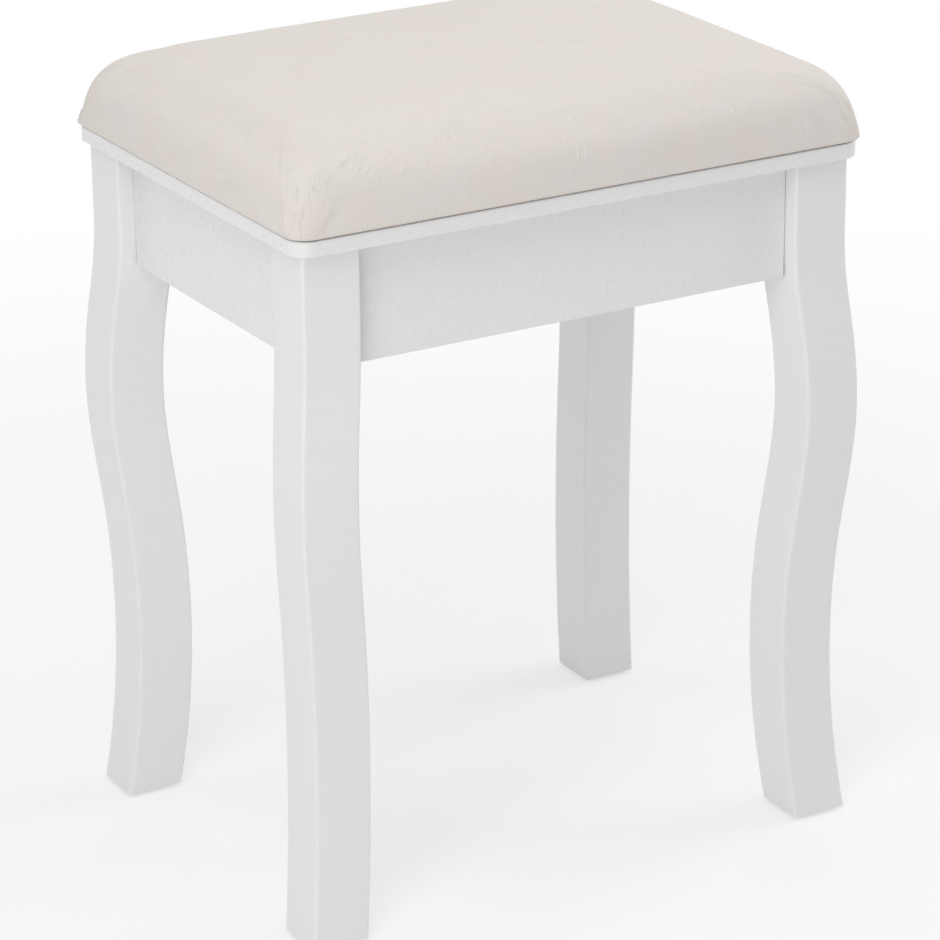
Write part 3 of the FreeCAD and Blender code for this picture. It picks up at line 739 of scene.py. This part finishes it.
held = cushion.vertex_groups.new(name="held")
freedom = []                    # of each point, from 0, held, to 1
for vert in cushion_mesh.vertices:
    height = vert.co.z - pad_bottom
    free = min(1, max(0, (height - HELD_BELOW) / (FREE_ABOVE - HELD_BELOW)))
    pocket = (abs(vert.co.x) < HALF_WIDTH - pocket_inset + POCKET_MARGIN
              and abs(vert.co.y) < HALF_DEPTH - pocket_inset + POCKET_MARGIN
              and height < pocket_top + POCKET_MARGIN)
    freedom.append(0.0 if pocket or vert.normal.z < FACING_DOWN else free)
    held.add([vert.index], 1 - freedom[-1], "REPLACE")


def fill(target, pressure, frames):
    """Blows the cloth up from inside and returns where each of its points ends."""
    cloth = target.modifiers.new("fill", "CLOTH")
    cloth.settings.quality = CLOTH_QUALITY
    cloth.settings.mass = CLOTH_MASS
    cloth.settings.tension_stiffness = CLOTH_STIFFNESS
    cloth.settings.compression_stiffness = CLOTH_STIFFNESS
    cloth.settings.vertex_group_mass = "held"
    cloth.settings.use_pressure = True
    cloth.settings.uniform_pressure_force = pressure
    cloth.settings.effector_weights.gravity = 0
    cloth.collision_settings.use_collision = False
    cloth.point_cache.frame_start = 1
    cloth.point_cache.frame_end = frames
    for frame_number in range(1, frames + 1):
        scene.frame_set(frame_number)
    filled = target.evaluated_get(bpy.context.evaluated_depsgraph_get())
    places = [vert.co.copy() for vert in filled.data.vertices]
    target.modifiers.remove(cloth)
    scene.frame_set(1)
    return places


for vert, free in zip(cushion_mesh.vertices, freedom):
    vert.co -= vert.normal * START_SMALLER * free
start = [vert.co.copy() for vert in cushion_mesh.vertices]
moves = []
for vert, begun, end in zip(cushion_mesh.vertices, start,
                            fill(cushion, FILL_PRESSURE, FILL_FRAMES)):
    move = end - begun
    moves.append(move.length)
    if move.length > MOST_SWELL:
        move *= MOST_SWELL / move.length
    vert.co = begun + move
cushion_mesh.update()
print("the cloth swelled by up to", round(max(moves) / mm, 2), "mm, on average",
      round(sum(moves) / len(moves) / mm, 2), "mm")

# %% [markdown]
# Cloth that is pulled round a corner has too much of itself there. On this pad the upholsterer
# folded it under, and what shows is a short upright crease beside each corner and a soft
# diagonal fold that leans away from it, with a fuller place between the two. Along the upper edge
# lie a few small creases where the cloth has eased, and the back left corner is drawn in.
#
# Each crease is a line on the side of the pad. It is given by its two ends, as distances in
# millimetres along the seam from the middle of its corner (positive along the front or back,
# negative along the left or right side) and above the seat board, then by how far it stands out
# (negative is a valley) and its width. The points near the line move out or in along their
# normals. The heights and places at the two front corners follow the photographed pad.

# %% Creases and folds
creases = {
    # corner, as the signs of x and y: from (along, up) to (along, up), depth, width
    (-1, -1): [
        ((-4.6, 0.0), (-5.4, 15.0), -1.5, 1.3),
        ((-7.2, 1.0), (-8.2, 14.0), 0.9, 1.7),
        ((-1.0, -2.0), (3.0, 10.0), 0.9, 4.0),
        ((8.0, 0.0), (15.0, 17.0), 1.1, 2.2),
        ((12.0, -2.0), (25.0, 20.0), -1.6, 3.6),
        ((60.0, 34.0), (74.0, 36.0), -0.6, 1.8),
        ((-34.0, 1.0), (-28.0, 16.0), -0.7, 3.5),
    ],
    (1, -1): [
        ((8.0, -2.0), (25.0, 26.0), 1.3, 2.1),
        ((13.0, -2.0), (32.0, 23.0), -1.4, 3.6),
        ((2.0, 16.0), (3.5, 32.0), 0.9, 1.7),
        ((-3.0, 0.0), (-5.0, 18.0), -1.4, 1.5),
        ((174.0, 35.0), (160.0, 36.0), -0.6, 1.6),
        ((152.0, 36.5), (140.0, 35.5), -0.7, 1.6),
        ((136.0, 34.5), (128.0, 35.5), -0.5, 1.5),
        ((70.0, 2.0), (64.0, 16.0), -0.7, 3.5),
    ],
    (-1, 1): [
        ((0.0, -4.0), (0.0, 42.0), -2.4, 10.0),
        ((-6.0, 0.0), (-7.0, 19.0), -1.7, 1.4),
        ((9.0, -2.0), (20.0, 23.0), 1.1, 2.4),
        ((13.0, -2.0), (28.0, 23.0), -1.4, 3.8),
    ],
    (1, 1): [
        ((5.0, 0.0), (6.0, 20.0), -1.7, 1.4),
        ((-10.0, -2.0), (-19.0, 22.0), 1.1, 2.4),
        ((-14.0, -2.0), (-29.0, 24.0), -1.5, 3.8),
    ],
}


def from_corner(u, v):
    """A side point's distance along the seam from the middle of its corner."""
    if abs(v) >= abs(u):
        along, _, turn = along_side(u / abs(v), STRAIGHT_STEPS_X / steps_x, HALF_WIDTH,
                                    HALF_DEPTH, SEAM_CORNER, 0)
        straight = max(0, HALF_WIDTH - SEAM_CORNER - abs(along))
        return straight + SEAM_CORNER * (math.pi / 4 - abs(turn))
    along, _, turn = along_side(v / abs(u), STRAIGHT_STEPS_Y / steps_y, HALF_DEPTH,
                                HALF_WIDTH, SEAM_CORNER, 0)
    straight = max(0, HALF_DEPTH - SEAM_CORNER - abs(along))
    return -straight - SEAM_CORNER * (math.pi / 4 - abs(turn))


FADE_IN = 5                     # a crease reaches its depth in a fifth of its length
FADE_OUT = 2.2                  # and runs out over nearly half of it


def crease_at(place, start, end, depth, width):
    """How far a crease moves the cloth at a place on the side, all in millimetres."""
    start, end = Vector(start), Vector(end)
    line = end - start
    part = (place - start).dot(line) / line.length_squared
    if not 0 < part < 1:
        return 0.0
    beside = (place - start - line * part).length
    fade = min(1, FADE_IN * part) * min(1, FADE_OUT * (1 - part))
    return depth * fade * math.exp(-(beside / width) ** 2)


at_u = cushion_mesh.attributes["square_u"].data
at_v = cushion_mesh.attributes["square_v"].data
WAVE = 32 * mm                  # the foam's own slow unevenness
WAVE_DEPTH = 0.35 * mm
TURNED_UNDER = -0.3             # a normal's z below this is out of sight
ON_THE_SIDES = 0.999            # of the square's half width: only its edge runs down the sides
normals = [vert.normal.copy() for vert in cushion_mesh.vertices]
for vert, normal, free in zip(cushion_mesh.vertices, normals, freedom):
    u, v = at_u[vert.index].value, at_v[vert.index].value
    height = (vert.co.z - pad_bottom) / mm
    if normal.z < TURNED_UNDER or free == 0 and height > TUCK_HEIGHT / mm:
        continue
    push = WAVE_DEPTH * noise.noise(vert.co / WAVE) * free
    if max(abs(u), abs(v)) > ON_THE_SIDES:
        corner = (1 if u > 0 else -1, 1 if v > 0 else -1)
        place_on_side = Vector((from_corner(u, v) / mm, height))
        push += sum(crease_at(place_on_side, *sizes) for sizes in creases[corner]) * mm
    vert.co += normal * push
cushion_mesh.update()
print(sum(len(lines) for lines in creases.values()), "creases and folds")

# %% [markdown]
# One level of subdivision turns the facets into a smooth surface. The corner folds keep their
# shape, because the points are close together there.

# %% Smooth the cloth
soften = cushion.modifiers.new("smooth_cloth", "SUBSURF")
soften.levels = 1
soften.render_levels = 1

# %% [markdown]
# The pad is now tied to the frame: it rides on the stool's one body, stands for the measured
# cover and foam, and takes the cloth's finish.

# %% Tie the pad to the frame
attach(cushion, "root")
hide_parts("pad_cover", "pad_foam")
